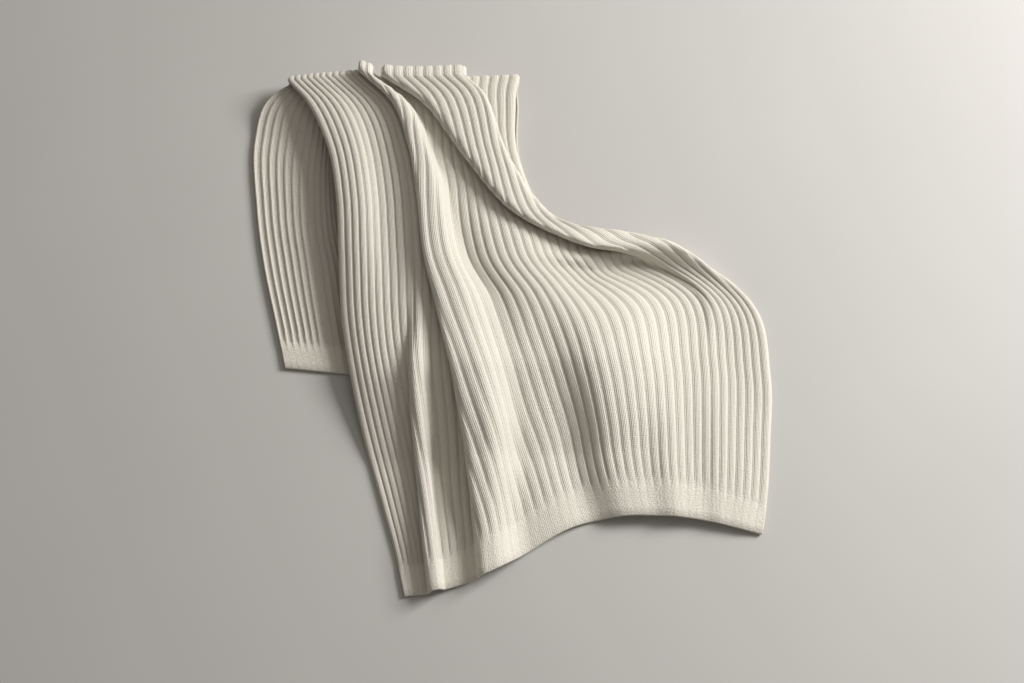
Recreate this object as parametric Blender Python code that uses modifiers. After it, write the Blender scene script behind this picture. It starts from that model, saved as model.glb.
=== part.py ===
"""Rib-knit wool throw laid out flat, gathered into long folds and turned under at its far end."""
import math

import bpy
import numpy as np

RIBS = 50
WALL = 0.003
RIB_RELIEF = 0.0022
RIDGE_RADIUS = 0.0075
RIDGE_STACK = 0.021
RIDGE_LIFT = 2 * RIDGE_RADIUS + RIDGE_STACK
REST = WALL / 2 + RIB_RELIEF / 2
FLAT_BELOW = RIB_RELIEF + 0.0006

# Pitch of the ribs beside the fan's, and the share of the relief lost in the tightest turns.
LEFT_PITCH = 0.85
ROLL_PITCH = 1.2
RELIEF_LOST = 0.85
TIGHT_TURN = 2.6

# How far the cloth bridges a hollow, and how softly it takes the shape of the layers beneath.
VALLEY_REACH = 0.085
STACK_REACH = 0.03
BED_CLEAR = 0.0075
BED_CELL = 0.01
BED_HALF = 0.7
BED_GROW = 7
BED_ROWS = 90
UPPER_SETTLE = 0.11
UNDER_SETTLE = 0.24
AWAY = (0.0, 1.0)

# Plan of the upper length in millimetres, a row for each share of the length from the near hem: left
# edge, first pleat's lip, second pleat's lip, middle of the fan, long lip, right outline, right edge.
UPPER_PLAN = [
    (0.000, (-172, -437), (-131, -432), (-49, -407), (124, -317), (293, -312), (408, -336), (408, -336)),
    (0.055, (-183, -389), (-138, -385), (-54, -354), (112, -263), (293, -255), (417, -288), (417, -288)),
    (0.200, (-212, -288), (-149, -283), (-66, -263), (107, -161), (306, -149), (429, -177), (429, -177)),
    (0.350, (-246, -172), (-162, -165), (-85, -141), (98, -73), (320, -41), (435, -66), (435, -66)),
    (0.480, (-270, -66), (-167, -62), (-107, -37), (75, 5), (329, 67), (417, 52), (417, 52)),
    (0.600, (-287, 36), (-164, 36), (-128, 50), (31, 63), (247, 127), (331, 123), (331, 123)),
    (0.710, (-294, 140), (-164, 140), (-150, 142), (-41, 136), (118, 155), (212, 179), (212, 179)),
    (0.800, (-301, 241), (-170, 237), (-161, 237), (-100, 231), (-3, 214), (71, 205), (71, 205)),
    (0.880, (-320, 338), (-186, 333), (-178, 333), (-145, 325), (-81, 311), (-9, 321), (16, 317)),
    (0.950, (-359, 424), (-220, 422), (-212, 422), (-196, 420), (-157, 418), (-46, 428), (9, 420)),
    (1.000, (-395, 466), (-277, 478), (-269, 478), (-257, 474), (-228, 468), (-83, 468), (4, 472)),
]
# Plan of the length beneath, from the far turn to the hidden hem.
UNDER_PLAN = [
    (0.000, (-395, 466), (-277, 478), (-269, 478), (-257, 474), (-228, 468), (-83, 468), (4, 472)),
    (0.100, (-435, 436), (-307, 430), (-298, 430), (-286, 428), (-261, 424), (-100, 426), (-7, 426)),
    (0.250, (-454, 364), (-319, 348), (-308, 348), (-294, 346), (-265, 344), (-106, 344), (-12, 340)),
    (0.450, (-444, 239), (-307, 218), (-290, 218), (-269, 218), (-230, 218), (-73, 222), (23, 226)),
    (0.650, (-427, 136), (-279, 118), (-255, 118), (-231, 118), (-186, 118), (-21, 125), (83, 133)),
    (0.900, (-394, 0), (-244, -12), (-210, -12), (-183, -9), (-129, -9), (41, 2), (150, 9)),
    (1.000, (-382, -53), (-229, -66), (-192, -66), (-162, -62), (-108, -62), (64, -48), (173, -41)),
]
LEFT_EDGE, FIRST_LIP, SECOND_LIP, FAN_MIDDLE, LONG_LIP, OUTLINE, RIGHT_EDGE = range(7)

# Lay of the ribs, a row for each share of the length: pitch of the fan's ribs and gap between layers in
# millimetres, ribs over which the cloth comes down after the second lip, rib number at each plan point,
# angle in degrees that the cloth turns through at each lip and at the right roll, and how many more ribs
# the roll carries back than forth.
LAY_COLUMNS = ("pitch", "gap", "drop", "first_rib", "second_rib", "middle_rib", "long_rib",
               "outline_rib", "first_turn", "second_turn", "long_turn", "roll_turn", "tuck")
UPPER_LAY = [
    (0.000, 12.8, 12.5, 4.5, 7.0, 16.5, 27.3, 40.4, 50.0, 125, 90, 0, 0, 0.0),
    (0.055, 13.4, 12.5, 4.5, 7.1, 16.6, 27.6, 40.5, 50.0, 130, 95, 0, 0, 0.0),
    (0.200, 14.4, 12.5, 4.5, 7.6, 17.4, 28.6, 41.3, 50.0, 140, 110, 0, 0, 0.0),
    (0.350, 15.2, 12.5, 4.5, 8.4, 18.6, 29.5, 42.2, 50.0, 150, 150, 10, 0, 0.0),
    (0.480, 15.2, 12.5, 4.4, 9.2, 19.2, 29.6, 43.7, 50.0, 140, 174, 60, 0, 0.0),
    (0.600, 15.0, 12.5, 4.0, 9.9, 19.7, 28.6, 44.1, 48.6, 90, 180, 155, 70, 1.2),
    (0.710, 15.4, 12.5, 3.2, 10.2, 20.0, 27.0, 42.1, 46.6, 30, 180, 180, 180, 1.6),
    (0.800, 15.8, 12.0, 2.7, 10.4, 19.8, 24.4, 38.8, 43.4, 0, 180, 180, 180, 0.8),
    (0.880, 15.6, 11.5, 2.4, 10.5, 18.9, 21.6, 35.0, 41.0, 0, 180, 180, 180, 0.0),
    (0.950, 14.6, 11.0, 2.0, 10.5, 17.6, 18.9, 32.4, 39.8, 0, 180, 180, 180, 0.0),
    (1.000, 13.4, 10.5, 1.6, 10.4, 16.0, 17.0, 30.8, 39.4, 0, 180, 180, 180, 0.0),
]
UNDER_LAY = [
    (0.000, 13.4, 10.5, 1.6, 10.4, 16.0, 17.0, 30.8, 39.4, 0, 180, 180, 180, 0.0),
    (0.250, 13.2, 12.0, 1.9, 11.4, 14.4, 15.8, 30.8, 39.2, 0, 120, 180, 180, 0.0),
    (0.650, 13.4, 12.5, 2.6, 12.6, 15.4, 17.4, 32.0, 40.0, 0, 60, 180, 180, 0.0),
    (1.000, 13.8, 12.5, 2.6, 13.0, 15.8, 18.2, 32.6, 40.6, 0, 60, 180, 180, 0.0),
]
LEAST_COUNT = 0.1
# Ribs in the layers hidden in a fold are drawn together. Share of the pitch kept, ribs in one layer, plan
# points on both sides of the room for it, most that it reaches, and most of that room that it takes.
LAPS = [
    ("first_drawn", "first", FIRST_LIP, SECOND_LIP, 0.030, 0.45),
    ("second_drawn", "second", SECOND_LIP, LONG_LIP, 0.034, 0.42),
    ("long_drawn", "long", LONG_LIP, OUTLINE, 0.050, 0.50),
    ("roll_drawn", "roll_back", LONG_LIP, OUTLINE, 0.050, 0.33),
]
# Soft crests of the fan: rib at the near hem, rib at the far turn, half width in ribs, steepest angle
# in degrees, share of the length where it has faded. Each is wider and less steep on its right side.
CREST_LEAN = 1.5
CRESTS = [
    (23.0, 24.4, 2.6, 18, 0.55),
    (32.7, 34.6, 3.2, 38, 0.62),
    (39.5, 40.5, 2.6, 30, 0.50),
    (45.2, 45.0, 2.0, 20, 0.40),
]
# Ribs over which the cloth comes down again after the first and the long lip.
FIRST_DROP = 2.6
LONG_DROP = 4.0
DROP_START = 1.2
DROP_CENTRE = 0.9
DROP_SHAPE = 0.6
STEEPEST = 1.5
ROLL_OVER = 60
GATHER_OVER = 0.8

# Right edge strip: its least width, the width from which it runs its own way, and ribs past the edge.
STRIP_LEAST = 0.02
STRIP_FULL = 0.04
PAST_EDGE = 0.7
TINY = 0.001

UPPER_COUNT = 104
SHARE_STEPS = 400
LIP_PACKED = 2.4
LIP_SHARE = 0.66
LIP_REACH = 0.18
RIDGE_COUNT = 8
UNDER_COUNT = 34
PLAIN_SHARE = 0.055
UNDER_PLAIN_SHARE = 0.91
TRIANGLES = 11780
FINE_STEPS = 12
RIB_STEPS = 4
FIT_TURNS = 12
DROP_TURNS = 14
WOOL = (0.80, 0.77, 0.68, 1.0)


def ease(x):
    """Smooth step from 0 to 1."""
    x = np.clip(x, 0.0, 1.0)
    return x * x * (3 - 2 * x)


def through(values, knots, at):
    """Smooth curve through the values at the knots, carried on straight past both ends."""
    values = np.asarray(values, float)
    knots = np.asarray(knots, float)
    flat = values.reshape(len(knots), -1)
    steps = np.diff(knots)[:, None]
    slopes = np.diff(flat, axis=0) / steps
    inner = (slopes[:-1] * steps[1:] + slopes[1:] * steps[:-1]) / (steps[1:] + steps[:-1])
    tangents = np.vstack([slopes[:1], inner, slopes[-1:]])
    at = np.atleast_1d(np.asarray(at, float))
    cell = np.clip(np.searchsorted(knots, at, side="right") - 1, 0, len(knots) - 2)
    width = steps[cell]
    x = (at - knots[cell])[:, None] / width
    past = np.where(x < 0, x, np.where(x > 1, x - 1, 0.0))
    x = np.clip(x, 0, 1)
    first, last = flat[cell], flat[cell + 1]
    leave, arrive = tangents[cell] * width, tangents[cell + 1] * width
    curve = (first * (2 * x**3 - 3 * x**2 + 1) + leave * (x**3 - 2 * x**2 + x)
             + last * (3 * x**2 - 2 * x**3) + arrive * (x**3 - x**2))
    curve = curve + past * np.where(past < 0, leave, arrive)
    return curve.reshape((len(at),) + values.shape[1:])


def between(ribs, first, last, turn):
    """1 from the first turn to the last, with the change spread over each turn."""
    rise = np.clip((ribs - first) / turn + 0.5, 0, 1)
    fall = np.clip((ribs - last) / turn + 0.5, 0, 1)
    return rise * (1 - fall)


def hump(ribs, middle, half):
    """Rises and falls once over the half width on each side of the middle."""
    return ease(1 - np.abs(ribs - middle) / half)


def plan_line(plan, share):
    """Plan points of a row, their distances along it, and the width of its right edge strip."""
    points = through([row[1:] for row in plan], [row[0] for row in plan], share)[0] / 1000
    chords = np.linalg.norm(np.diff(points, axis=0), axis=1)
    strip = chords[OUTLINE]
    reach = max(strip, STRIP_LEAST)
    onward = (points[OUTLINE] - points[LONG_LIP]) / chords[LONG_LIP]
    toward = (points[RIGHT_EDGE] - points[OUTLINE]) / max(strip, TINY)
    part = ease(strip / STRIP_FULL)
    points[RIGHT_EDGE] = points[OUTLINE] + (onward * (1 - part) + toward * part) * reach
    lengths = np.concatenate([[0.0], np.cumsum(chords[:OUTLINE])])
    return points, np.append(lengths, lengths[-1] + reach), strip


def lay_of(table, lengths, strip, share):
    """Rib numbers, turns and ribs hidden in one layer of each fold, at one share of the length."""
    values = through([row[1:] for row in table], [row[0] for row in table], share)[0]
    lay = dict(zip(LAY_COLUMNS, values))
    right = 1 + (ROLL_PITCH - 1) * lay["roll_turn"] / 180
    lay["pitches"] = lay["pitch"] / 1000 * np.array([LEFT_PITCH, 1.0, 1.0, 1.0, right])
    outline = min(lay["outline_rib"], RIBS)
    lay["lips"] = np.array([0.0, lay["first_rib"], lay["second_rib"], lay["middle_rib"],
                            lay["long_rib"], outline])
    folded = (np.diff(lay["lips"]) - np.diff(lengths)[:OUTLINE] / lay["pitches"]) / 2
    lay["first"] = max(folded[LEFT_EDGE], LEAST_COUNT)
    lay["second"] = max(folded[FIRST_LIP], LEAST_COUNT)
    lay["long"] = max(folded[FAN_MIDDLE], LEAST_COUNT)
    rolled = RIBS - outline - strip / lay["pitches"][LONG_LIP]
    lay["roll_back"] = max((rolled + lay["tuck"]) / 2, 0.0)
    lay["roll_forth"] = max((rolled - lay["tuck"]) / 2, 0.0)
    for name, count, start, end, most, part in LAPS:
        reach = min(most, (lengths[end] - lengths[start]) * part)
        lay[name] = min(1.0, reach * 1000 / (max(lay[count], LEAST_COUNT) * lay["pitch"]))
    return lay


def drop(ribs, angle, pitch, lip, count, drawn, wide):
    """Downward turn after a lip that brings the cloth back to the height it left."""
    reach = count * drawn
    inside = (ribs >= lip - count - DROP_START) & (ribs <= lip + reach + wide)
    shape = hump(ribs, lip + reach * DROP_CENTRE + wide / 2, wide / 2) ** DROP_SHAPE
    low, high = 0.0, STEEPEST
    for _ in range(DROP_TURNS):
        tilt = (low + high) / 2
        rise = np.sum((np.sin(angle - tilt * shape) * pitch)[inside])
        if rise > 0:
            low = tilt
        else:
            high = tilt
    return low * shape


def slope(ribs, lay, pitch, crests, share):
    """Angle of the cloth along a row: over at each lip, back under it, and down again after."""
    turn = lay["gap"] / 1000 * math.pi / 2 / pitch
    lips = lay["lips"]
    folds = (("first", lips[FIRST_LIP], FIRST_DROP, 1.0),
             ("second", lips[SECOND_LIP], lay["drop"], 1.0),
             ("long", lips[LONG_LIP], LONG_DROP, 1 - ease(lay["roll_turn"] / ROLL_OVER)))
    angle = np.zeros(len(ribs))
    for name, lip, wide, part in folds:
        angle += math.radians(lay[name + "_turn"]) * between(ribs, lip - lay[name], lip, turn)
    past = PAST_EDGE * (1 - ease(lay["roll_forth"] / PAST_EDGE))
    again = lips[OUTLINE] + lay["roll_back"] + past
    angle -= math.radians(lay["roll_turn"]) * between(ribs, lips[OUTLINE], again, turn)
    for first, last, half, steep, fade in crests:
        rib = first + (last - first) * share
        tilt = math.radians(steep) * (1 - ease(share / fade))
        far_half = half * CREST_LEAN
        angle += tilt * hump(ribs, rib - half, half)
        angle -= tilt / CREST_LEAN * hump(ribs, rib + far_half, far_half)
    for name, lip, wide, part in folds:
        angle -= drop(ribs, angle, pitch, lip, lay[name], lay[name + "_drawn"], wide) * part
    return angle


def gather(ribs, lay):
    """Share of its own pitch that each rib keeps in the layers hidden in the folds."""
    kept = np.ones(len(ribs))
    lips = lay["lips"]
    for name, lip in zip(("first", "second", "long"), lips[[FIRST_LIP, SECOND_LIP, LONG_LIP]]):
        hidden = between(ribs, lip - 2 * lay[name], lip, GATHER_OVER)
        kept -= (1 - lay[name + "_drawn"]) * hidden
    rolled = between(ribs, lips[OUTLINE], lips[OUTLINE] + 2 * lay["roll_back"], GATHER_OVER)
    return kept - (1 - lay["roll_drawn"]) * rolled


def summed(steps):
    """Running total of the steps, starting at nothing."""
    return np.concatenate([[0.0], np.cumsum((steps[1:] + steps[:-1]) / 2)]) / FINE_STEPS


def section(plan, table, share, crests):
    """Cross-section of one row: plan places, heights and slopes of the folded cloth."""
    points, lengths, strip = plan_line(plan, share)
    lay = lay_of(table, lengths, strip, share)
    lips, pitches = lay["lips"], lay["pitches"]
    ribs = np.arange(0, RIBS * FINE_STEPS + 1) / FINE_STEPS
    middles = (lips[:-1] + lips[1:]) / 2
    kept = gather(ribs, lay)
    for _ in range(FIT_TURNS):
        pitch = np.interp(ribs, middles, pitches) * kept
        angle = slope(ribs, lay, pitch, crests, share)
        across = summed(np.cos(angle) * pitch)
        found = np.diff(np.interp(lips, ribs, across))
        pitches = pitches * np.clip(np.diff(lengths[:RIGHT_EDGE]) / np.maximum(found, TINY), 0.7, 1.4)
    height = summed(np.sin(angle) * pitch)
    place = through(points, lengths, across)
    along = through(points, lengths, across + TINY) - place
    along = along / np.linalg.norm(along, axis=1)[:, None]
    return {"share": share, "ribs": ribs, "place": place, "height": height, "across": across,
            "angle": angle, "along": along, "kept": kept, "turning": np.abs(np.gradient(angle, ribs))}


def floor_line(across, height, reach):
    """Smooth line that stays under every layer of the cloth within reach."""
    near = np.abs(across[:, None] - across[None, :]) <= reach
    lowest = np.where(near, height[None, :], np.inf).min(axis=1)
    return (near * lowest[None, :]).sum(axis=1) / near.sum(axis=1)


def level(row, reach):
    """Height of a row once its valleys rest on the ground."""
    return row["height"] - floor_line(row["across"], row["height"], reach)


def under_rows():
    """Rows of the length beneath: folds turned over, resting on the floor and held up at the far turn."""
    rows = []
    for share in np.linspace(0, 1, UNDER_COUNT):
        row = section(UNDER_PLAN, UNDER_LAY, share, [])
        row["height"] = -row["height"]
        held = 1 - ease(share / UNDER_SETTLE)
        hung = row["height"] + RIDGE_STACK
        row["z"] = REST + level(row, STACK_REACH) * (1 - held) + hung * held
        rows.append(row)
    return rows


def bed(rows):
    """Grid of the height on top of the rows beneath, widened and smoothed."""
    span = np.arange(-BED_HALF, BED_HALF + BED_CELL / 2, BED_CELL)
    top = np.zeros((len(span), len(span)))
    fine = np.linspace(0, len(rows) - 1, BED_ROWS)
    places = through([row["place"] for row in rows], np.arange(len(rows)), fine).reshape(-1, 2)
    heights = through([row["z"] for row in rows], np.arange(len(rows)), fine).ravel()
    cells = np.rint((places + BED_HALF) / BED_CELL).astype(int)
    np.maximum.at(top, (cells[:, 0], cells[:, 1]), heights + REST + BED_CLEAR)
    moves = range(-BED_GROW, BED_GROW + 1)
    for axis in (0, 1):
        top = np.maximum.reduce([np.roll(top, move, axis) for move in moves])
    for axis in (0, 1):
        top = sum(np.roll(top, move, axis) for move in moves) / len(moves)
    return top


def bed_height(top, place):
    """Height of the bed under the given plan points."""
    spot = np.clip((place + BED_HALF) / BED_CELL, 0, len(top) - 1 - TINY)
    cell = spot.astype(int)
    right, far = (spot - cell).T
    x, y = cell.T
    near_side = (1 - right) * top[x, y] + right * top[x + 1, y]
    far_side = (1 - right) * top[x, y + 1] + right * top[x + 1, y + 1]
    return (1 - far) * near_side + far * far_side


def row_shares():
    """Shares of the upper length for its rows, closer together where the long lip runs along them."""
    fine = np.linspace(0, 1, SHARE_STEPS)
    packed = np.cumsum(1 + LIP_PACKED * hump(fine, LIP_SHARE, LIP_REACH))
    packed = (packed - packed[0]) / (packed[-1] - packed[0])
    return np.interp(np.linspace(0, 1, UPPER_COUNT), packed, fine)


def upper_rows(top):
    """Rows of the upper length, resting on the bed and raised to the far turn."""
    rows = []
    for share in row_shares():
        row = section(UPPER_PLAN, UPPER_LAY, share, CRESTS)
        held = ease((share - 1 + UPPER_SETTLE) / UPPER_SETTLE)
        lift = bed_height(top, row["place"]) * (1 - held) + RIDGE_LIFT * held
        row["z"] = REST + level(row, VALLEY_REACH) + lift
        rows.append(row)
    return rows


def facing(row, tip):
    """Direction that the cloth's upper face looks in, once tipped over by an angle at the far turn."""
    up = np.array([math.sin(tip) * AWAY[0], math.sin(tip) * AWAY[1], math.cos(tip)])
    side = np.column_stack([row["along"], np.zeros(len(row["along"]))])
    return up * np.cos(row["angle"])[:, None] - side * np.sin(row["angle"])[:, None]


def relief(row, ribbed):
    """Height of the ribs along a row: none in the plain bands and less in the tight turns."""
    wave = -np.cos(2 * math.pi * row["ribs"]) * RIB_RELIEF / 2
    kept = 1 - RELIEF_LOST * np.clip(row["turning"] / TIGHT_TURN, 0, 1)
    return wave * kept * row["kept"] ** 2 * float(ribbed)


def flat_points(row):
    """Middle of the cloth along a row."""
    return np.column_stack([row["place"], row["z"]])


def turned_points(row, tip):
    """Middle of the ridge row carried round the far turn by an angle."""
    centre = REST + RIDGE_LIFT - RIDGE_RADIUS
    arm = row["z"] - centre
    place = row["place"] + np.outer(arm * math.sin(tip), AWAY)
    return np.column_stack([place, centre + arm * math.cos(tip)])


def ribbed_points(row, middle, tip, ribbed):
    """Middle of the cloth raised and sunk by its ribs."""
    return middle + facing(row, tip) * relief(row, ribbed)[:, None]


def surface():
    """Middle surface of the cloth, row by row: upper length, far turn and the length beneath."""
    under = under_rows()
    upper = upper_rows(bed(under))
    ridge = upper[-1]
    rows = [ribbed_points(row, flat_points(row), 0.0, row["share"] > PLAIN_SHARE) for row in upper]
    for tip in np.linspace(0, math.pi, RIDGE_COUNT + 1)[1:]:
        rows.append(ribbed_points(ridge, turned_points(ridge, tip), tip, True))
    for row in under[1:]:
        rows.append(ribbed_points(row, flat_points(row), math.pi, row["share"] < UNDER_PLAIN_SHARE))
    return np.array(rows)


def cloth_mesh():
    """Open ribbed sheet through the surface points."""
    points = surface()[:, ::FINE_STEPS // RIB_STEPS]
    rows, columns = points.shape[:2]
    index = np.arange(rows * columns).reshape(rows, columns)
    quads = np.stack([index[:-1, :-1], index[:-1, 1:], index[1:, 1:], index[1:, :-1]], axis=-1)
    mesh = bpy.data.meshes.new("throw")
    mesh.from_pydata(points.reshape(-1, 3).tolist(), [], quads.reshape(-1, 4).tolist())
    mesh.validate()
    return mesh


def thicken(item):
    """Gives the sheet its wall and leaves only the triangles that its folds need."""
    wall = item.modifiers.new("wall", "SOLIDIFY")
    wall.thickness = WALL
    wall.offset = 0.0
    wall.use_even_offset = False
    wall.use_rim = True
    fewer = item.modifiers.new("fewer", "DECIMATE")
    fewer.ratio = TRIANGLES / (4 * len(item.data.polygons))
    fewer.use_collapse_triangulate = True
    solid = bpy.data.meshes.new_from_object(item.evaluated_get(bpy.context.evaluated_depsgraph_get()))
    item.modifiers.clear()
    item.data = solid


def rest(item):
    """Flattens the underside where the throw lies on the floor and centres its outline."""
    points = np.array([vertex.co[:] for vertex in item.data.vertices])
    points[points[:, 2] < FLAT_BELOW, 2] = 0.0
    points[:, :2] -= (points.max(axis=0) + points.min(axis=0))[:2] / 2
    item.data.vertices.foreach_set("co", points.ravel())
    item.data.update()


def knit_material():
    """Ivory wool."""
    material = bpy.data.materials.new("wool_knit")
    material.use_nodes = True
    shader = material.node_tree.nodes["Principled BSDF"]
    shader.inputs["Base Color"].default_value = WOOL
    shader.inputs["Roughness"].default_value = 0.9
    shader.inputs["Metallic"].default_value = 0.0
    return material


def build():
    """The throw in its own collection."""
    for item in list(bpy.data.objects):
        bpy.data.objects.remove(item, do_unlink=True)
    group = bpy.data.collections.new("wool_throw")
    bpy.context.scene.collection.children.link(group)
    throw = bpy.data.objects.new("throw", cloth_mesh())
    group.objects.link(throw)
    bpy.context.view_layer.update()
    thicken(throw)
    rest(throw)
    throw.data.materials.clear()
    throw.data.materials.append(knit_material())


build()
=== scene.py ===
import math

import bpy
import numpy as np
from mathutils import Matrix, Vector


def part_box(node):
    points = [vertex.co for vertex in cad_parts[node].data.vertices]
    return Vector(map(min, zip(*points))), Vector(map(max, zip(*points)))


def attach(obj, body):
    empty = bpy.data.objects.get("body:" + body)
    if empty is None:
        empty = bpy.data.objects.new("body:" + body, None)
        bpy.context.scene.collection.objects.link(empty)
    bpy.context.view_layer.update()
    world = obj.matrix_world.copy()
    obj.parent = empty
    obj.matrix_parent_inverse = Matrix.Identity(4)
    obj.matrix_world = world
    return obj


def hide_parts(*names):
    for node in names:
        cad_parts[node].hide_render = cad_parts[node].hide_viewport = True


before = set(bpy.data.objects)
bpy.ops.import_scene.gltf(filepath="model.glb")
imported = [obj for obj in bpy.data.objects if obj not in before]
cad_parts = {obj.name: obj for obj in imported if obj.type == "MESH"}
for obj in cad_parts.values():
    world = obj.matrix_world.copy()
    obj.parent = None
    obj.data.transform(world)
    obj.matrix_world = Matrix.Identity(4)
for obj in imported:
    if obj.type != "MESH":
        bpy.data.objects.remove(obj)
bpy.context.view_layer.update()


# The cloth: one panel of thick ivory wool, 50 wide ribs across, knitted on a flat bed machine with a
# plain double band at each end. It is laid out with its far end turned under, gathered there into long
# folds that open towards the near hem.
RIBS = 50
WALL = 0.0034
RIB_HEIGHT = 0.0028
CHANNEL_HALF = 0.13
CROWN = 0.14
BAND_RAISE = 0.0009
RIDGE_RADIUS = 0.0075
RIDGE_STACK = 0.021
RIDGE_LIFT = 2 * RIDGE_RADIUS + RIDGE_STACK
REST = 0.0026
# Pitch of the ribs beside the fan's, and the share of the relief lost in the tightest turns.
LEFT_PITCH = 0.85
ROLL_PITCH = 1.2
RELIEF_LOST = 0.3
TIGHT_TURN = 2.6
# How far the cloth bridges a hollow, and how softly it takes the shape of the layers beneath.
VALLEY_REACH = 0.085
STACK_REACH = 0.03
BED_CLEAR = 0.0075
BED_CELL = 0.01
BED_HALF = 0.7
BED_GROW = 7
BED_ROWS = 90
UPPER_SETTLE = 0.11
UNDER_SETTLE = 0.24

# Plan of the upper length in millimetres, a row for each share of the length from the near hem: left
# edge, first pleat's lip, second pleat's lip, middle of the fan, long lip, right outline, right edge.
UPPER_PLAN = [
    (0.000, (-172, -437), (-131, -432), (-49, -407), (124, -317), (293, -312), (408, -336), (408, -336)),
    (0.055, (-183, -389), (-138, -385), (-54, -354), (112, -263), (293, -255), (417, -288), (417, -288)),
    (0.200, (-212, -288), (-149, -283), (-66, -263), (107, -161), (306, -149), (429, -177), (429, -177)),
    (0.350, (-246, -172), (-162, -165), (-85, -141), (98, -73), (320, -41), (435, -66), (435, -66)),
    (0.480, (-270, -66), (-167, -62), (-107, -37), (75, 5), (329, 67), (417, 52), (417, 52)),
    (0.600, (-287, 36), (-164, 36), (-128, 50), (31, 63), (247, 127), (331, 123), (331, 123)),
    (0.710, (-294, 140), (-164, 140), (-150, 142), (-41, 136), (118, 155), (212, 179), (212, 179)),
    (0.800, (-301, 241), (-170, 237), (-161, 237), (-100, 231), (-3, 214), (71, 205), (71, 205)),
    (0.880, (-320, 338), (-186, 333), (-178, 333), (-145, 325), (-81, 311), (-9, 321), (16, 317)),
    (0.950, (-359, 424), (-220, 422), (-212, 422), (-196, 420), (-157, 418), (-46, 428), (9, 420)),
    (1.000, (-395, 466), (-277, 478), (-269, 478), (-257, 474), (-228, 468), (-83, 468), (4, 472)),
]
# Plan of the length beneath, from the far turn to the hidden hem.
UNDER_PLAN = [
    (0.000, (-395, 466), (-277, 478), (-269, 478), (-257, 474), (-228, 468), (-83, 468), (4, 472)),
    (0.100, (-435, 436), (-307, 430), (-298, 430), (-286, 428), (-261, 424), (-100, 426), (-7, 426)),
    (0.250, (-454, 364), (-319, 348), (-308, 348), (-294, 346), (-265, 344), (-106, 344), (-12, 340)),
    (0.450, (-444, 239), (-307, 218), (-290, 218), (-269, 218), (-230, 218), (-73, 222), (23, 226)),
    (0.650, (-427, 136), (-279, 118), (-255, 118), (-231, 118), (-186, 118), (-21, 125), (83, 133)),
    (0.900, (-394, 0), (-244, -12), (-210, -12), (-183, -9), (-129, -9), (41, 2), (150, 9)),
    (1.000, (-382, -53), (-229, -66), (-192, -66), (-162, -62), (-108, -62), (64, -48), (173, -41)),
]
LEFT_EDGE, FIRST_LIP, SECOND_LIP, FAN_MIDDLE, LONG_LIP, OUTLINE, RIGHT_EDGE = range(7)

# Lay of the ribs, a row for each share of the length: pitch of the fan's ribs and gap between layers in
# millimetres, ribs over which the cloth comes down after the second lip, rib number at each plan point,
# angle in degrees that the cloth turns through at each lip and at the right roll, and how many more ribs
# the roll carries back than forth.
LAY_COLUMNS = ("pitch", "gap", "drop", "first_rib", "second_rib", "middle_rib", "long_rib",
               "outline_rib", "first_turn", "second_turn", "long_turn", "roll_turn", "tuck")
UPPER_LAY = [
    (0.000, 12.8, 12.5, 4.5, 7.0, 16.5, 27.3, 40.4, 50.0, 125, 90, 0, 0, 0.0),
    (0.055, 13.4, 12.5, 4.5, 7.1, 16.6, 27.6, 40.5, 50.0, 130, 95, 0, 0, 0.0),
    (0.200, 14.4, 12.5, 4.5, 7.6, 17.4, 28.6, 41.3, 50.0, 140, 110, 0, 0, 0.0),
    (0.350, 15.2, 12.5, 4.5, 8.4, 18.6, 29.5, 42.2, 50.0, 150, 150, 10, 0, 0.0),
    (0.480, 15.2, 12.5, 4.4, 9.2, 19.2, 29.6, 43.7, 50.0, 140, 174, 60, 0, 0.0),
    (0.600, 15.0, 12.5, 4.0, 9.9, 19.7, 28.6, 44.1, 48.6, 90, 180, 155, 70, 1.2),
    (0.710, 15.4, 12.5, 3.2, 10.2, 20.0, 27.0, 42.1, 46.6, 30, 180, 180, 180, 1.6),
    (0.800, 15.8, 12.0, 2.7, 10.4, 19.8, 24.4, 38.8, 43.4, 0, 180, 180, 180, 0.8),
    (0.880, 15.6, 11.5, 2.4, 10.5, 18.9, 21.6, 35.0, 41.0, 0, 180, 180, 180, 0.0),
    (0.950, 14.6, 11.0, 2.0, 10.5, 17.6, 18.9, 32.4, 39.8, 0, 180, 180, 180, 0.0),
    (1.000, 13.4, 10.5, 1.6, 10.4, 16.0, 17.0, 30.8, 39.4, 0, 180, 180, 180, 0.0),
]
UNDER_LAY = [
    (0.000, 13.4, 10.5, 1.6, 10.4, 16.0, 17.0, 30.8, 39.4, 0, 180, 180, 180, 0.0),
    (0.250, 13.2, 12.0, 1.9, 11.4, 14.4, 15.8, 30.8, 39.2, 0, 120, 180, 180, 0.0),
    (0.650, 13.4, 12.5, 2.6, 12.6, 15.4, 17.4, 32.0, 40.0, 0, 60, 180, 180, 0.0),
    (1.000, 13.8, 12.5, 2.6, 13.0, 15.8, 18.2, 32.6, 40.6, 0, 60, 180, 180, 0.0),
]
LEAST_COUNT = 0.1
# Ribs in the layers hidden in a fold are drawn together. Share of the pitch kept, ribs in one layer, plan
# points on both sides of the room for it, most that it reaches, and most of that room that it takes.
LAPS = [
    ("first_drawn", "first", FIRST_LIP, SECOND_LIP, 0.030, 0.45),
    ("second_drawn", "second", SECOND_LIP, LONG_LIP, 0.034, 0.42),
    ("long_drawn", "long", LONG_LIP, OUTLINE, 0.050, 0.50),
    ("roll_drawn", "roll_back", LONG_LIP, OUTLINE, 0.050, 0.33),
]
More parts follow.
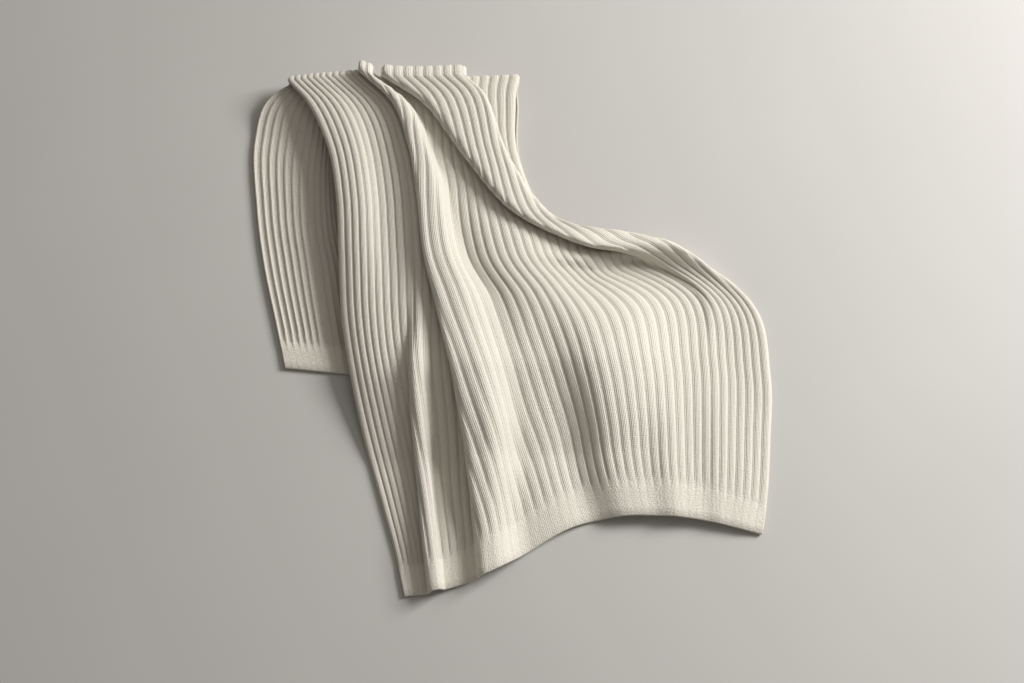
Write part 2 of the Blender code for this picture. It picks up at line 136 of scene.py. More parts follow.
# Soft crests and troughs: rib at the near hem, rib at the far turn, half width in ribs, steepest angle
# in degrees (negative for a trough), and the shares of the length where it starts, is full and ends.
CRESTS = [
    (23.0, 24.4, 2.6, 18, -0.5, 0.0, 0.55),
    (32.7, 34.6, 3.2, 38, -0.5, 0.2, 0.66),
    (39.5, 41.5, 2.6, 30, -0.5, 0.0, 0.50),
    (45.2, 44.7, 2.0, 20, -0.5, 0.0, 0.40),
    (6.2, 6.9, 1.8, -22, 0.60, 0.82, 1.05),
    (3.4, 2.6, 1.8, 12, 0.15, 0.60, 1.10),
    (29.5, 28.2, 2.6, 16, 0.40, 0.68, 0.90),
]
CREST_LEAN = 1.5
# Ribs over which the cloth comes down again after the first and the long lip, and the fit of the row.
FIRST_DROP = 2.6
LONG_DROP = 4.0
DROP_START = 1.2
DROP_CENTRE = 0.9
DROP_SHAPE = 0.6
STEEPEST = 1.5
ROLL_OVER = 60
GATHER_OVER = 0.8
FIT_LEAST = 0.7
FIT_MOST = 1.4
# Right edge strip: its least width, the width from which it runs its own way, and ribs past the edge.
STRIP_LEAST = 0.02
STRIP_FULL = 0.04
PAST_EDGE = 0.7
TINY = 0.001
# Rows of the mesh, closer together at the long lip, its steps in a rib, and where the plain bands end.
UPPER_COUNT = 106
SHARE_STEPS = 400
LIP_PACKED = 2.4
LIP_SHARE = 0.66
LIP_REACH = 0.18
RIDGE_COUNT = 10
UNDER_COUNT = 42
FINE_STEPS = 12
RIB_STEPS = 6
FIT_TURNS = 12
DROP_TURNS = 14
PLAIN_SHARE = 0.055
UNDER_PLAIN_SHARE = 0.91
BAND_BLEND = 0.006


def ease(x):
    """Smooth step from 0 to 1."""
    x = np.clip(x, 0.0, 1.0)
    return x * x * (3 - 2 * x)


def through(values, knots, at):
    """Smooth curve through the values at the knots, carried on straight past both ends."""
    values = np.asarray(values, float)
    knots = np.asarray(knots, float)
    flat = values.reshape(len(knots), -1)
    steps = np.diff(knots)[:, None]
    slopes = np.diff(flat, axis=0) / steps
    inner = (slopes[:-1] * steps[1:] + slopes[1:] * steps[:-1]) / (steps[1:] + steps[:-1])
    tangents = np.vstack([slopes[:1], inner, slopes[-1:]])
    at = np.atleast_1d(np.asarray(at, float))
    cell = np.clip(np.searchsorted(knots, at, side="right") - 1, 0, len(knots) - 2)
    width = steps[cell]
    x = (at - knots[cell])[:, None] / width
    past = np.where(x < 0, x, np.where(x > 1, x - 1, 0.0))
    x = np.clip(x, 0, 1)
    first, last = flat[cell], flat[cell + 1]
    leave, arrive = tangents[cell] * width, tangents[cell + 1] * width
    curve = (first * (2 * x**3 - 3 * x**2 + 1) + leave * (x**3 - 2 * x**2 + x)
             + last * (3 * x**2 - 2 * x**3) + arrive * (x**3 - x**2))
    curve = curve + past * np.where(past < 0, leave, arrive)
    return curve.reshape((len(at),) + values.shape[1:])


def between(ribs, first, last, turn):
    """1 from the first turn to the last, with the change spread over each turn."""
    rise = np.clip((ribs - first) / turn + 0.5, 0, 1)
    fall = np.clip((ribs - last) / turn + 0.5, 0, 1)
    return rise * (1 - fall)


def hump(ribs, middle, half):
    """Rises and falls once over the half width on each side of the middle."""
    return ease(1 - np.abs(ribs - middle) / half)


def plan_line(plan, share):
    """Plan points of a row, their distances along it, and the width of its right edge strip."""
    points = through([row[1:] for row in plan], [row[0] for row in plan], share)[0] / 1000
    chords = np.linalg.norm(np.diff(points, axis=0), axis=1)
    strip = chords[OUTLINE]
    reach = max(strip, STRIP_LEAST)
    onward = (points[OUTLINE] - points[LONG_LIP]) / chords[LONG_LIP]
    toward = (points[RIGHT_EDGE] - points[OUTLINE]) / max(strip, TINY)
    part = ease(strip / STRIP_FULL)
    points[RIGHT_EDGE] = points[OUTLINE] + (onward * (1 - part) + toward * part) * reach
    lengths = np.concatenate([[0.0], np.cumsum(chords[:OUTLINE])])
    return points, np.append(lengths, lengths[-1] + reach), strip


def lay_of(table, lengths, strip, share):
    """Rib numbers, turns and ribs hidden in one layer of each fold, at one share of the length."""
    values = through([row[1:] for row in table], [row[0] for row in table], share)[0]
    lay = dict(zip(LAY_COLUMNS, values))
    right = 1 + (ROLL_PITCH - 1) * lay["roll_turn"] / 180
    lay["pitches"] = lay["pitch"] / 1000 * np.array([LEFT_PITCH, 1.0, 1.0, 1.0, right])
    outline = min(lay["outline_rib"], RIBS)
    lay["lips"] = np.array([0.0, lay["first_rib"], lay["second_rib"], lay["middle_rib"],
                            lay["long_rib"], outline])
    folded = (np.diff(lay["lips"]) - np.diff(lengths)[:OUTLINE] / lay["pitches"]) / 2
    lay["first"] = max(folded[LEFT_EDGE], LEAST_COUNT)
    lay["second"] = max(folded[FIRST_LIP], LEAST_COUNT)
    lay["long"] = max(folded[FAN_MIDDLE], LEAST_COUNT)
    rolled = RIBS - outline - strip / lay["pitches"][LONG_LIP]
    lay["roll_back"] = max((rolled + lay["tuck"]) / 2, 0.0)
    lay["roll_forth"] = max((rolled - lay["tuck"]) / 2, 0.0)
    for name, count, start, end, most, part in LAPS:
        reach = min(most, (lengths[end] - lengths[start]) * part)
        lay[name] = min(1.0, reach * 1000 / (max(lay[count], LEAST_COUNT) * lay["pitch"]))
    return lay


def drop(ribs, angle, pitch, lip, count, drawn, wide):
    """Downward turn after a lip that brings the cloth back to the height it left."""
    reach = count * drawn
    inside = (ribs >= lip - count - DROP_START) & (ribs <= lip + reach + wide)
    shape = hump(ribs, lip + reach * DROP_CENTRE + wide / 2, wide / 2) ** DROP_SHAPE
    low, high = 0.0, STEEPEST
    for _ in range(DROP_TURNS):
        tilt = (low + high) / 2
        rise = np.sum((np.sin(angle - tilt * shape) * pitch)[inside])
        if rise > 0:
            low = tilt
        else:
            high = tilt
    return low * shape


def slope(ribs, lay, pitch, crests, share):
    """Angle of the cloth along a row: over at each lip, back under it, and down again after."""
    turn = lay["gap"] / 1000 * math.pi / 2 / pitch
    lips = lay["lips"]
    folds = (("first", lips[FIRST_LIP], FIRST_DROP, 1.0),
             ("second", lips[SECOND_LIP], lay["drop"], 1.0),
             ("long", lips[LONG_LIP], LONG_DROP, 1 - ease(lay["roll_turn"] / ROLL_OVER)))
    angle = np.zeros(len(ribs))
    for name, lip, wide, part in folds:
        angle += math.radians(lay[name + "_turn"]) * between(ribs, lip - lay[name], lip, turn)
    past = PAST_EDGE * (1 - ease(lay["roll_forth"] / PAST_EDGE))
    again = lips[OUTLINE] + lay["roll_back"] + past
    angle -= math.radians(lay["roll_turn"]) * between(ribs, lips[OUTLINE], again, turn)
    for first, last, half, steep, start, full, end in crests:
        rib = first + (last - first) * share
        strength = ease((share - start) / (full - start)) * (1 - ease((share - full) / (end - full)))
        tilt = math.radians(steep) * strength
        far_half = half * CREST_LEAN
        angle += tilt * hump(ribs, rib - half, half)
        angle -= tilt / CREST_LEAN * hump(ribs, rib + far_half, far_half)
    for name, lip, wide, part in folds:
        angle -= drop(ribs, angle, pitch, lip, lay[name], lay[name + "_drawn"], wide) * part
    return angle


def gather(ribs, lay):
    """Share of its own pitch that each rib keeps in the layers hidden in the folds."""
    kept = np.ones(len(ribs))
    lips = lay["lips"]
    for name, lip in zip(("first", "second", "long"), lips[[FIRST_LIP, SECOND_LIP, LONG_LIP]]):
        hidden = between(ribs, lip - 2 * lay[name], lip, GATHER_OVER)
        kept -= (1 - lay[name + "_drawn"]) * hidden
    rolled = between(ribs, lips[OUTLINE], lips[OUTLINE] + 2 * lay["roll_back"], GATHER_OVER)
    return kept - (1 - lay["roll_drawn"]) * rolled


def summed(steps):
    """Running total of the steps, starting at nothing."""
    return np.concatenate([[0.0], np.cumsum((steps[1:] + steps[:-1]) / 2)]) / FINE_STEPS


def section(plan, table, share, crests):
    """Cross-section of one row: plan places, heights and slopes of the folded cloth."""
    points, lengths, strip = plan_line(plan, share)
    lay = lay_of(table, lengths, strip, share)
    lips, pitches = lay["lips"], lay["pitches"]
    ribs = np.arange(0, RIBS * FINE_STEPS + 1) / FINE_STEPS
    middles = (lips[:-1] + lips[1:]) / 2
    kept = gather(ribs, lay)
    for _ in range(FIT_TURNS):
        pitch = np.interp(ribs, middles, pitches) * kept
        angle = slope(ribs, lay, pitch, crests, share)
        across = summed(np.cos(angle) * pitch)
        found = np.diff(np.interp(lips, ribs, across))
        short = np.diff(lengths[:RIGHT_EDGE]) / np.maximum(found, TINY)
        pitches = pitches * np.clip(short, FIT_LEAST, FIT_MOST)
    height = summed(np.sin(angle) * pitch)
    place = through(points, lengths, across)
    along = through(points, lengths, across + TINY) - place
    along = along / np.linalg.norm(along, axis=1)[:, None]
    return {"share": share, "ribs": ribs, "place": place, "height": height, "across": across,
            "angle": angle, "along": along, "kept": kept, "turning": np.abs(np.gradient(angle, ribs))}


def floor_line(across, height, reach):
    """Smooth line that stays under every layer of the cloth within reach."""
    near = np.abs(across[:, None] - across[None, :]) <= reach
    lowest = np.where(near, height[None, :], np.inf).min(axis=1)
    return (near * lowest[None, :]).sum(axis=1) / near.sum(axis=1)


def level(row, reach):
    """Height of a row once its valleys rest on the ground."""
    return row["height"] - floor_line(row["across"], row["height"], reach)


def under_rows():
    """Rows of the length beneath: folds turned over, resting on the floor and held up at the far turn."""
    rows = []
    for share in np.linspace(0, 1, UNDER_COUNT):
        row = section(UNDER_PLAN, UNDER_LAY, share, [])
        row["height"] = -row["height"]
        held = 1 - ease(share / UNDER_SETTLE)
        hung = row["height"] + RIDGE_STACK
        row["z"] = REST + level(row, STACK_REACH) * (1 - held) + hung * held
        rows.append(row)
    return rows


def bed(rows):
    """Grid of the height on top of the rows beneath, widened and smoothed."""
    span = np.arange(-BED_HALF, BED_HALF + BED_CELL / 2, BED_CELL)
    top = np.zeros((len(span), len(span)))
    fine = np.linspace(0, len(rows) - 1, BED_ROWS)
    places = through([row["place"] for row in rows], np.arange(len(rows)), fine).reshape(-1, 2)
    heights = through([row["z"] for row in rows], np.arange(len(rows)), fine).ravel()
    cells = np.rint((places + BED_HALF) / BED_CELL).astype(int)
    np.maximum.at(top, (cells[:, 0], cells[:, 1]), heights + REST + BED_CLEAR)
    moves = range(-BED_GROW, BED_GROW + 1)
    for axis in (0, 1):
        top = np.maximum.reduce([np.roll(top, move, axis) for move in moves])
    for axis in (0, 1):
        top = sum(np.roll(top, move, axis) for move in moves) / len(moves)
    return top


def bed_height(top, place):
    """Height of the bed under the given plan points."""
    spot = np.clip((place + BED_HALF) / BED_CELL, 0, len(top) - 1 - TINY)
    cell = spot.astype(int)
    right, far = (spot - cell).T
    x, y = cell.T
    near_side = (1 - right) * top[x, y] + right * top[x + 1, y]
    far_side = (1 - right) * top[x, y + 1] + right * top[x + 1, y + 1]
    return (1 - far) * near_side + far * far_side


def row_shares():
    """Shares of the upper length for its rows, closer together where the long lip runs along them."""
    fine = np.linspace(0, 1, SHARE_STEPS)
    packed = np.cumsum(1 + LIP_PACKED * hump(fine, LIP_SHARE, LIP_REACH))
    packed = (packed - packed[0]) / (packed[-1] - packed[0])
    return np.interp(np.linspace(0, 1, UPPER_COUNT), packed, fine)


def upper_rows(top):
    """Rows of the upper length, resting on the bed and raised to the far turn."""
    rows = []
    for share in row_shares():
        row = section(UPPER_PLAN, UPPER_LAY, share, CRESTS)
        held = ease((share - 1 + UPPER_SETTLE) / UPPER_SETTLE)
        lift = bed_height(top, row["place"]) * (1 - held) + RIDGE_LIFT * held
        row["z"] = REST + level(row, VALLEY_REACH) + lift
        rows.append(row)
    return rows


def facing(row, tip):
    """Direction that the cloth's upper face looks in, once tipped over by an angle at the far turn."""
    up = np.array([0.0, math.sin(tip), math.cos(tip)])
    side = np.column_stack([row["along"], np.zeros(len(row["along"]))])
    return up * np.cos(row["angle"])[:, None] - side * np.sin(row["angle"])[:, None]


def turned_points(row, tip):
    """Middle of the ridge row carried round the far turn by an angle."""
    centre = REST + RIDGE_LIFT - RIDGE_RADIUS
    arm = row["z"] - centre
    place = row["place"] + np.outer(arm * math.sin(tip), (0.0, 1.0))
    return np.column_stack([place, centre + arm * math.cos(tip)])


def rib_wave(ribs):
    """Broad rounded ribs with narrow channels between them."""
    apart = np.abs(ribs - np.rint(ribs))
    return 1 - 2 * np.exp(-(apart / CHANNEL_HALF) ** 2) - CROWN * (1 - 2 * apart) ** 2


under = under_rows()
upper = upper_rows(bed(under))
stack = []
for row in upper:
    ribbed = ease((row["share"] - PLAIN_SHARE) / BAND_BLEND + 0.5)
    stack.append((row, np.column_stack([row["place"], row["z"]]), facing(row, 0.0), ribbed))
for tip in np.linspace(0, math.pi, RIDGE_COUNT + 1)[1:]:
    stack.append((upper[-1], turned_points(upper[-1], tip), facing(upper[-1], tip), 1.0))
for row in under[1:]:
    ribbed = ease((UNDER_PLAIN_SHARE - row["share"]) / BAND_BLEND + 0.5)
    stack.append((row, np.column_stack([row["place"], row["z"]]), facing(row, math.pi), ribbed))

step = FINE_STEPS // RIB_STEPS
middle = np.array([points for row, points, face, ribbed in stack])[:, ::step]
face = np.array([face for row, points, face, ribbed in stack])[:, ::step]
kept = np.array([(1 - RELIEF_LOST * np.clip(row["turning"] / TIGHT_TURN, 0, 1)) * row["kept"] ** 2
                 for row, *rest in stack])
ribbed = np.array([part for *rest, part in stack])[:, None]
ribs = upper[0]["ribs"][::step]
rib_rows = rib_wave(ribs)[None, :] * kept[:, ::step] * ribbed * RIB_HEIGHT / 2

reached = np.linalg.norm(np.diff(middle, axis=0), axis=2).mean(axis=1)
length_at = np.concatenate([[0.0], np.cumsum(reached)])
CLOTH_LENGTH = float(length_at[-1])
NEAR_BAND = float(np.interp(PLAIN_SHARE, [row["share"] for row in upper], length_at[:UPPER_COUNT]))
under_length = length_at[-len(under):]
FAR_BAND = float(np.interp(UNDER_PLAIN_SHARE, [row["share"] for row in under], under_length))

half_wall = WALL / 2 + BAND_RAISE * (1 - ribbed)
upper_side = middle + face * (rib_rows + half_wall)[:, :, None]
lower_side = middle + face * (rib_rows - half_wall)[:, :, None]

rows, columns = upper_side.shape[:2]
# The edges are rounded over, and a shallow groove runs along both hems between their two plies.
EDGE_ROUND = 0.0013
EDGE_INSET = 0.28
EDGE_PART = 0.9
HEM_GROOVE = 0.0004


def rim(points):
    """Points round the four sides of a grid, corner to corner."""
    return np.concatenate([points[0, :-1], points[:-1, -1], points[-1, :0:-1], points[:0:-1, 0]])


out = np.zeros_like(middle)
out[:, 0] = middle[:, 0] - middle[:, 1]
out[:, -1] = middle[:, -1] - middle[:, -2]
out[0] += middle[0] - middle[1]
out[-1] += middle[-1] - middle[-2]
outward = rim(out)
outward = outward / np.linalg.norm(outward, axis=1)[:, None]
at_hem = np.zeros((rows, columns))
at_hem[0] = 1
at_hem[-1] = 1
groove = (HEM_GROOVE - EDGE_ROUND) * rim(at_hem[:, :, None]) + EDGE_ROUND
top_rim, low_rim = rim(upper_side), rim(lower_side)
edge_out = outward * EDGE_ROUND * EDGE_PART
rings = [top_rim * (1 - EDGE_INSET) + low_rim * EDGE_INSET + edge_out,
         (top_rim + low_rim) / 2 + outward * groove,
         top_rim * EDGE_INSET + low_rim * (1 - EDGE_INSET) + edge_out]

grid = np.arange(rows * columns).reshape(rows, columns)
quads = np.stack([grid[:-1, :-1], grid[:-1, 1:], grid[1:, 1:], grid[1:, :-1]], axis=-1).reshape(-1, 4)
below = rows * columns
around = len(outward)
edge = rim(grid[:, :, None])[:, 0]
rounded = [2 * below + ring * around + np.arange(around) for ring in range(len(rings))]
loops = [edge] + rounded + [edge + below]
walls = []
for near, far in zip(loops[:-1], loops[1:]):
    walls.append(np.stack([near, far, np.roll(far, -1), np.roll(near, -1)], axis=-1))
faces = np.concatenate([quads, quads[:, ::-1] + below] + walls)
points = np.concatenate([upper_side.reshape(-1, 3), lower_side.reshape(-1, 3)] + rings)

low, high = (np.array(corner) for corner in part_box("throw"))
points[:, :2] += (low + high)[:2] / 2 - (points.max(axis=0) + points.min(axis=0))[:2] / 2
points[:, 2] -= points[:, 2].min()

mesh = bpy.data.meshes.new("throw_cloth")
mesh.from_pydata(points.tolist(), [], faces.tolist())
knit_map = mesh.uv_layers.new(name="knit")
rib_at = np.tile(ribs / RIBS, (rows, 1))
run_at = np.repeat(length_at[:, None] / CLOTH_LENGTH, columns, axis=1)
flat_at = np.stack([rib_at, run_at], axis=-1)
rim_at = rim(flat_at)
corner_at = np.concatenate([flat_at.reshape(-1, 2), flat_at.reshape(-1, 2)] + [rim_at] * len(rings))
knit_map.data.foreach_set("uv", corner_at[faces.ravel()].ravel())
mesh.shade_smooth()
mesh.validate()
cloth = bpy.data.objects.new("throw_cloth", mesh)
bpy.context.scene.collection.objects.link(cloth)

# The yarn: a soft loosely spun wool. Each rib has six columns of stitches, the bands are knitted plain
# and flatter, and a row of larger stitches with a painted highlight joins each band to the ribs.
WALES_PER_RIB = 6.0
STITCH_LENGTH = 0.0032
WALE_ROUND = 0.5
STITCH_SLANT = 0.9
LOOP_SHARP = 3.0
LOOP_DEPTH = 0.35
JOIN_HALF = 0.0028
BAND_STITCH = 0.45


def add_node(tree, kind, place, **settings):
    """A node with its settings."""
    node = tree.nodes.new(kind)
    node.location = place
    for name, value in settings.items():
        setattr(node, name, value)
    return node


def math_node(tree, operation, place, *values):
    """A Math node fed by numbers or sockets."""
    node = add_node(tree, "ShaderNodeMath", place, operation=operation)
    for value, socket in zip(values, node.inputs):
        if isinstance(value, (int, float)):
            socket.default_value = value
        else:
            tree.links.new(value, socket)
    return node.outputs[0]


def noise_node(tree, place, where, scale, detail):
    """A noise of one scale at the given place on the piece."""
    node = add_node(tree, "ShaderNodeTexNoise", place)
    node.inputs["Scale"].default_value = scale
    node.inputs["Detail"].default_value = detail
    tree.links.new(where, node.inputs["Vector"])
    return node.outputs["Fac"]


knit = bpy.data.node_groups.new("knit_stitches", "ShaderNodeTree")
for name in ("Rib", "Run", "Wales", "Stitch"):
    knit.interface.new_socket(name, in_out="INPUT", socket_type="NodeSocketFloat")
for name in ("Height", "Gap"):
    knit.interface.new_socket(name, in_out="OUTPUT", socket_type="NodeSocketFloat")
given = add_node(knit, "NodeGroupInput", (-1200, 0))
made = add_node(knit, "NodeGroupOutput", (600, 0))
wale = math_node(knit, "MULTIPLY", (-1000, 200), given.outputs["Rib"], given.outputs["Wales"])
within = math_node(knit, "FRACT", (-820, 200), wale)
off = math_node(knit, "SUBTRACT", (-640, 200), within, 0.5)
side = math_node(knit, "ABSOLUTE", (-460, 200), off)
wale_side = math_node(knit, "MULTIPLY", (-280, 320), side, 2.0)
wale_height = math_node(knit, "SUBTRACT", (-280, 200), 1.0, wale_side)
crown = math_node(knit, "POWER", (-100, 200), wale_height, WALE_ROUND)
stitch = math_node(knit, "DIVIDE", (-1000, -100), given.outputs["Run"], given.outputs["Stitch"])
slant = math_node(knit, "MULTIPLY_ADD", (-640, -100), side, STITCH_SLANT, stitch)
loop = math_node(knit, "FRACT", (-460, -100), slant)
loop_off = math_node(knit, "SUBTRACT", (-280, -220), loop, 0.5)
loop_side = math_node(knit, "ABSOLUTE", (-280, -100), loop_off)
loop_end = math_node(knit, "MULTIPLY", (-100, -220), loop_side, 2.0)
loop_gap = math_node(knit, "POWER", (-100, -100), loop_end, LOOP_SHARP)
loop_dip = math_node(knit, "MULTIPLY", (120, -60), loop_gap, LOOP_DEPTH)
height = math_node(knit, "SUBTRACT", (120, 60), crown, loop_dip)
# Gap: low on the stitch columns and high between them; the wool darkens it as painted shade.
gap = math_node(knit, "SUBTRACT", (300, -120), 1.0, crown)
knit.links.new(height, made.inputs["Height"])
knit.links.new(gap, made.inputs["Gap"])

# The wool runs from ivory to a darker cream. The darker cream serves both as the wool's own uneven tone
# and as painted shade in the rib channels and stitch gaps.
IVORY = (0.81, 0.785, 0.715, 1.0)
SHADE_AND_TONE_CREAM = (0.58, 0.52, 0.41, 1.0)
SHEEN_TINT = (1.0, 0.97, 0.9, 1.0)
FIBRE_SCALE = 900.0
MATTED_SCALE = 330.0
MOTTLE_SCALE = 14.0
CHANNEL_REACH = 0.24
CHANNEL_PAINTED_SHADE = 0.22
STITCH_GAP_PAINTED_SHADE = 0.14
FIBRE_SHADE = 0.12
MOTTLE_SHADE = 0.10
MATTED_SHADE = 0.5
MATTED_LEVEL = 0.2
JOIN_PAINTED_HIGHLIGHT = -0.35
FIBRE_RELIEF = 0.5
JOIN_RELIEF = 0.3
MATTED_RELIEF = 1.6
STITCH_RELIEF = 0.0009
SMOOTHEST = 0.82
ROUGHEST = 0.98

wool = bpy.data.materials.new("ivory_wool")
wool.use_nodes = True
tree = wool.node_tree
shader = tree.nodes["Principled BSDF"]
shader.inputs["Metallic"].default_value = 0.0
shader.inputs["Specular IOR Level"].default_value = 0.25
shader.inputs["Sheen Weight"].default_value = 0.35
shader.inputs["Sheen Roughness"].default_value = 0.5
shader.inputs["Sheen Tint"].default_value = SHEEN_TINT

where = add_node(tree, "ShaderNodeUVMap", (-1800, 0), uv_map="knit")
split = add_node(tree, "ShaderNodeSeparateXYZ", (-1600, 0))
tree.links.new(where.outputs["UV"], split.inputs[0])
rib_number = math_node(tree, "MULTIPLY", (-1400, 150), split.outputs["X"], float(RIBS))
run_metres = math_node(tree, "MULTIPLY", (-1400, -50), split.outputs["Y"], CLOTH_LENGTH)
stitches = add_node(tree, "ShaderNodeGroup", (-1150, 50), node_tree=knit)
tree.links.new(rib_number, stitches.inputs["Rib"])
tree.links.new(run_metres, stitches.inputs["Run"])
stitches.inputs["Wales"].default_value = WALES_PER_RIB
stitches.inputs["Stitch"].default_value = STITCH_LENGTH

solid_place = add_node(tree, "ShaderNodeTexCoord", (-1800, -500)).outputs["Object"]
fibre = noise_node(tree, (-1150, -350), solid_place, FIBRE_SCALE, 3.0)
matted = noise_node(tree, (-1150, -850), solid_place, MATTED_SCALE, 2.0)
mottle = noise_node(tree, (-1150, -600), solid_place, MOTTLE_SCALE, 4.0)

# Painted shade in the narrow channels between the ribs, strongest at the middle of each channel.
nearest = math_node(tree, "ROUND", (-1250, 420), rib_number)
past_channel = math_node(tree, "SUBTRACT", (-1100, 420), rib_number, nearest)
channel = math_node(tree, "ABSOLUTE", (-950, 420), past_channel)
channel_shade_mask = add_node(tree, "ShaderNodeMapRange", (-780, 420), interpolation_type="SMOOTHSTEP")
channel_shade_mask.inputs["From Min"].default_value = CHANNEL_REACH
channel_shade_mask.inputs["From Max"].default_value = 0.0
tree.links.new(channel, channel_shade_mask.inputs["Value"])

# The joining row is full at each join and gone a half stitch away from it; it is raised, and painted
# lighter on its stitches as a painted highlight.
joins = []
for join_at in (NEAR_BAND, FAR_BAND):
    past_join = math_node(tree, "SUBTRACT", (-1100, 620), run_metres, join_at)
    apart = math_node(tree, "ABSOLUTE", (-950, 620), past_join)
    part = math_node(tree, "MULTIPLY", (-800, 740), apart, 1 / JOIN_HALF)
    joins.append(math_node(tree, "SUBTRACT", (-800, 620), 1.0, part))
nearer = math_node(tree, "MAXIMUM", (-640, 740), *joins)
join = math_node(tree, "MAXIMUM", (-640, 620), nearer, 0.0)
join = math_node(tree, "MULTIPLY", (-480, 620), join, stitches.outputs["Height"])
past_near = math_node(tree, "GREATER_THAN", (-1100, 860), run_metres, NEAR_BAND)
before_far = math_node(tree, "LESS_THAN", (-1100, 980), run_metres, FAR_BAND)
inner = math_node(tree, "MULTIPLY", (-950, 860), past_near, before_far)
stitch_part = math_node(tree, "MULTIPLY_ADD", (-800, 860), inner, 1 - BAND_STITCH, BAND_STITCH)

# Painted shade in the rib channels and stitch gaps, a painted highlight on the joining row, and the
# wool's own uneven tone from the fibre, mottle and matted noises.
painted_light_and_tone = math_node(tree, "MULTIPLY", (-560, 420), channel_shade_mask.outputs["Result"], CHANNEL_PAINTED_SHADE)
painted_light_and_tone = math_node(tree, "MULTIPLY_ADD", (-560, 300), stitches.outputs["Gap"], STITCH_GAP_PAINTED_SHADE, painted_light_and_tone)
painted_light_and_tone = math_node(tree, "MULTIPLY_ADD", (-560, 180), fibre, FIBRE_SHADE, painted_light_and_tone)
painted_light_and_tone = math_node(tree, "MULTIPLY_ADD", (-560, 60), mottle, MOTTLE_SHADE, painted_light_and_tone)
painted_light_and_tone = math_node(tree, "MULTIPLY_ADD", (-560, -60), join, JOIN_PAINTED_HIGHLIGHT, painted_light_and_tone)
painted_light_and_tone = math_node(tree, "SUBTRACT", (-700, -120), painted_light_and_tone, MATTED_LEVEL)
painted_light_and_tone = math_node(tree, "MULTIPLY_ADD", (-560, -120), matted, MATTED_SHADE, painted_light_and_tone)
tinted = add_node(tree, "ShaderNodeMix", (-300, 200), data_type="RGBA")
tinted.inputs[6].default_value = IVORY
tinted.inputs[7].default_value = SHADE_AND_TONE_CREAM
tree.links.new(painted_light_and_tone, tinted.inputs[0])
tree.links.new(tinted.outputs[2], shader.inputs["Base Color"])

rough = add_node(tree, "ShaderNodeMapRange", (-300, -100))
rough.inputs["To Min"].default_value = SMOOTHEST
rough.inputs["To Max"].default_value = ROUGHEST
tree.links.new(fibre, rough.inputs["Value"])
tree.links.new(rough.outputs["Result"], shader.inputs["Roughness"])

stitch_height = math_node(tree, "MULTIPLY", (-700, -250), stitches.outputs["Height"], stitch_part)
relief_height = math_node(tree, "MULTIPLY_ADD", (-560, -250), fibre, FIBRE_RELIEF, stitch_height)
relief_height = math_node(tree, "MULTIPLY_ADD", (-420, -250), join, JOIN_RELIEF, relief_height)
relief_height = math_node(tree, "MULTIPLY_ADD", (-420, -370), matted, MATTED_RELIEF, relief_height)
bump = add_node(tree, "ShaderNodeBump", (-300, -300))
bump.inputs["Strength"].default_value = 0.8
bump.inputs["Distance"].default_value = STITCH_RELIEF
tree.links.new(relief_height, bump.inputs["Height"])
tree.links.new(bump.outputs["Normal"], shader.inputs["Normal"])
mesh.materials.append(wool)

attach(cloth, "root")
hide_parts("throw")

# The floor: a pale smooth floor of grey plaster, cast in one piece, under the throw and past the view.
FLOOR_HALF = 6.0
FLOOR_DROP = 0.0005
CLOUD_SCALE = 2.2
DARKER_PLASTER = (0.53, 0.52, 0.50, 1.0)
PALER_PLASTER = (0.58, 0.57, 0.55, 1.0)
floor_corners = [(-FLOOR_HALF, -FLOOR_HALF, 0), (FLOOR_HALF, -FLOOR_HALF, 0),
                 (FLOOR_HALF, FLOOR_HALF, 0), (-FLOOR_HALF, FLOOR_HALF, 0)]
floor_mesh = bpy.data.meshes.new("floor")
floor_mesh.from_pydata(floor_corners, [], [(0, 1, 2, 3)])
floor = bpy.data.objects.new("floor", floor_mesh)
floor.location.z = -FLOOR_DROP
bpy.context.scene.collection.objects.link(floor)
plaster = bpy.data.materials.new("pale_floor")
plaster.use_nodes = True
tree = plaster.node_tree
shader = tree.nodes["Principled BSDF"]
shader.inputs["Roughness"].default_value = 0.7
floor_place = add_node(tree, "ShaderNodeTexCoord", (-900, 0)).outputs["Object"]
cloudy = noise_node(tree, (-700, 0), floor_place, CLOUD_SCALE, 6.0)
pale = add_node(tree, "ShaderNodeMix", (-400, 0), data_type="RGBA")
pale.inputs[6].default_value = DARKER_PLASTER
pale.inputs[7].default_value = PALER_PLASTER
tree.links.new(cloudy, pale.inputs[0])
tree.links.new(pale.outputs[2], shader.inputs["Base Color"])
floor_mesh.materials.append(plaster)

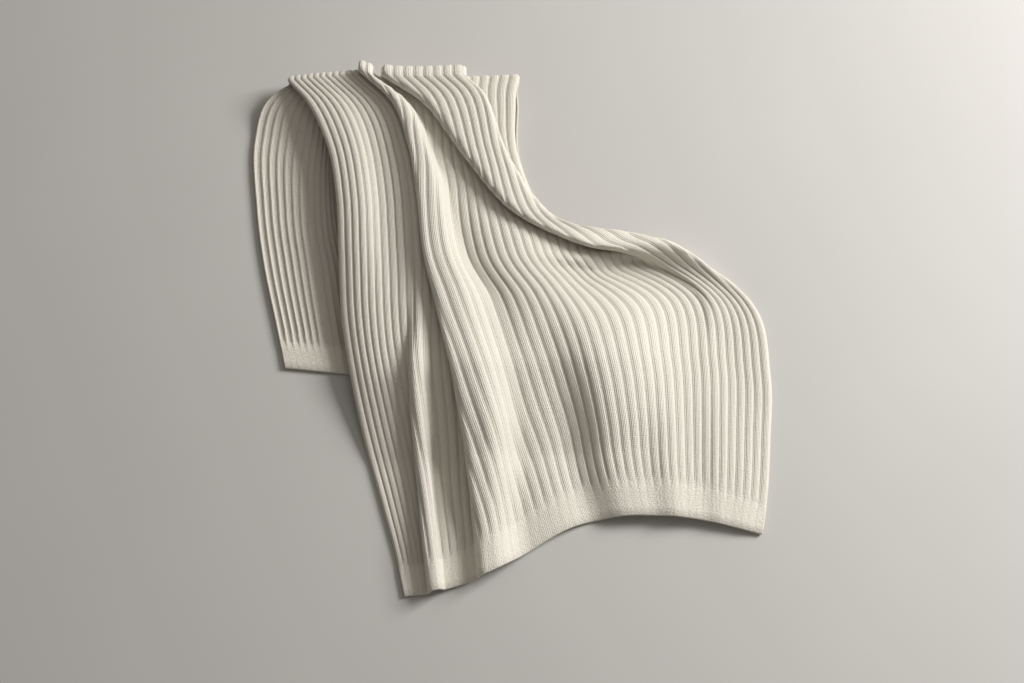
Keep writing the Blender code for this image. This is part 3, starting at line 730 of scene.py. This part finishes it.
# The light: a large soft window light from the right and beyond, a weak soft light above, and a pale
# room all round.
KEY_PLACE = (3.3, 1.5, 2.1)
KEY_SIZE = 1.6
KEY_POWER = 226.0
KEY_COLOUR = (1.0, 0.99, 0.975)
FILL_PLACE = (1.0, 1.0, 2.8)
FILL_SIZE = 2.2
FILL_POWER = 10.0
FILL_COLOUR = (1.0, 0.95, 0.86)
ROOM_COLOUR = (1.0, 0.94, 0.86, 1.0)
ROOM_STRENGTH = 0.19
AIM = (0.01, -0.04, 0.0)


def soft_light(name, place, size, power, colour):
    """A square soft light that points at the throw."""
    data = bpy.data.lights.new(name, "AREA")
    data.size = size
    data.energy = power
    data.color = colour
    light = bpy.data.objects.new(name, data)
    light.location = place
    bpy.context.scene.collection.objects.link(light)
    target = [a - b for a, b in zip(AIM, place)]
    flat = math.hypot(target[0], target[1])
    light.rotation_euler = (math.atan2(flat, -target[2]), 0.0, math.atan2(-target[0], target[1]))


soft_light("key_light", KEY_PLACE, KEY_SIZE, KEY_POWER, KEY_COLOUR)
soft_light("fill_light", FILL_PLACE, FILL_SIZE, FILL_POWER, FILL_COLOUR)
room = bpy.data.worlds.new("room")
room.use_nodes = True
background = room.node_tree.nodes["Background"]
background.inputs["Color"].default_value = ROOM_COLOUR
background.inputs["Strength"].default_value = ROOM_STRENGTH
bpy.context.scene.world = room

# The camera: above the throw and a little to the near side, so that the throw stands upright in the
# picture.
CAMERA_AWAY = 2.6
CAMERA_RISE = math.radians(72)
LENS = 53.8
camera_data = bpy.data.cameras.new("camera")
camera_data.lens = LENS
camera_data.sensor_width = 36.0
camera = bpy.data.objects.new("camera", camera_data)
camera_near = AIM[1] - CAMERA_AWAY * math.cos(CAMERA_RISE)
camera.location = (AIM[0], camera_near, CAMERA_AWAY * math.sin(CAMERA_RISE))
camera.rotation_euler = (math.pi / 2 - CAMERA_RISE, 0.0, 0.0)
bpy.context.scene.collection.objects.link(camera)
bpy.context.scene.camera = camera
bpy.context.scene.view_settings.view_transform = "Standard"
